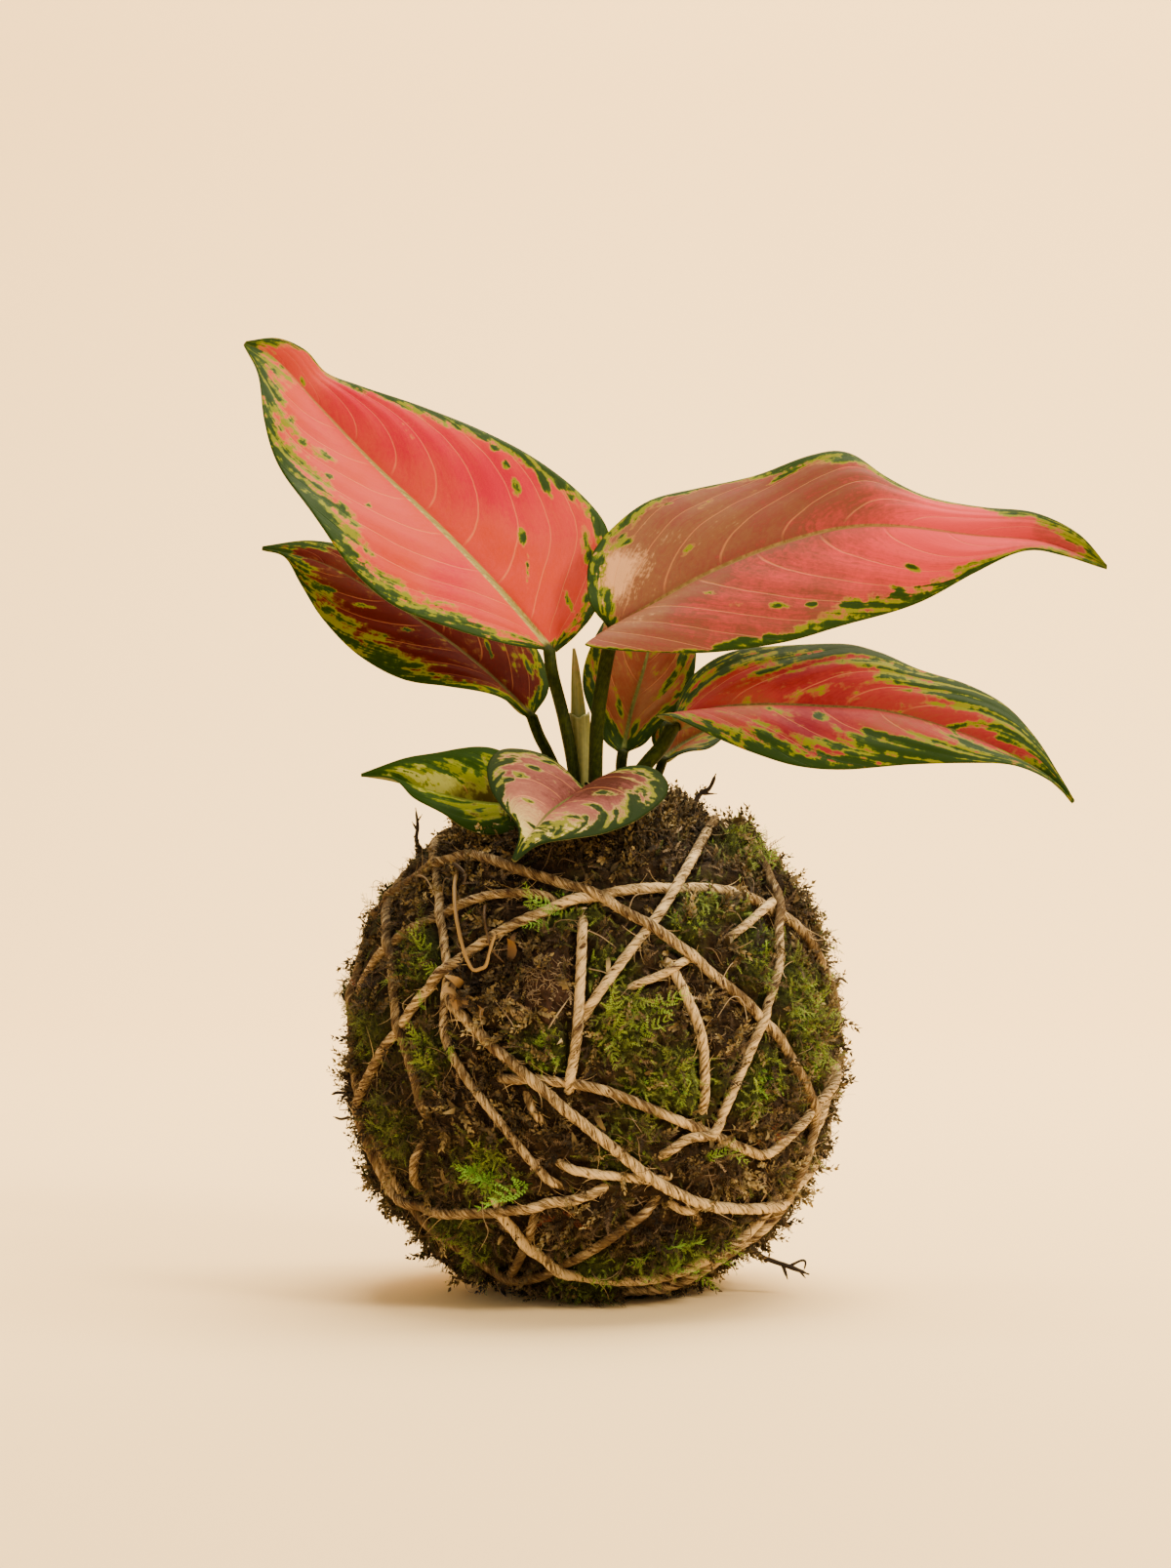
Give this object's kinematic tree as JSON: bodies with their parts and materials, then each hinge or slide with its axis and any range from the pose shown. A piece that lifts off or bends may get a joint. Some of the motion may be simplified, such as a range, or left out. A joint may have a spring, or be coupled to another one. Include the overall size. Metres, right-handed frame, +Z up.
{
  "type": "kokedama moss ball plant",
  "caption": "Ball of soil wrapped in moss and bound with jute twine, with pink variegated leaves growing from its top; it rests on a small flat spot.",
  "frame": {"origin": "centre of the small flat spot under the ball, on the surface it rests on", "axes": "+Z up through the ball and the plant; the side shown in the picture faces -Y; +X to the right of it"},
  "size_m": [0.2104, 0.1517, 0.2375],
  "materials": {
    "soil": "moist crumbly potting soil",
    "moss": "sheet moss, green with brown patches",
    "jute": "twisted three-ply jute twine, fibrous",
    "pink_leaf": "satin leaf, coral pink with green edge and flecks",
    "salmon_leaf": "satin leaf, salmon pink with a few green flecks",
    "deep_pink_leaf": "satin leaf, deep pink with many dark green flecks",
    "pale_pink_leaf": "satin leaf, pale pink with a cream and green edge",
    "green_leaf": "satin leaf, green with a cream centre",
    "shoot": "pale green sheath and rolled leaf"
  },
  "bodies": {
    "root": {"soil_core": "soil", "moss_layer": "moss", "twine_wraps": "jute", "leaf_upper_left": "pink_leaf", "leaf_upper_right": "salmon_leaf", "leaf_lower_right": "deep_pink_leaf", "leaf_lower_left": "deep_pink_leaf", "leaf_back_middle": "deep_pink_leaf", "leaf_back_right": "deep_pink_leaf", "leaf_front_heart": "pale_pink_leaf", "leaf_front_green": "green_leaf", "new_shoot": "shoot", "hang_twine_tie": "jute", "hang_twine": "jute", "hang_twine_coil": "jute", "hang_twine_knot": "jute"}
  },
  "joints": []
}
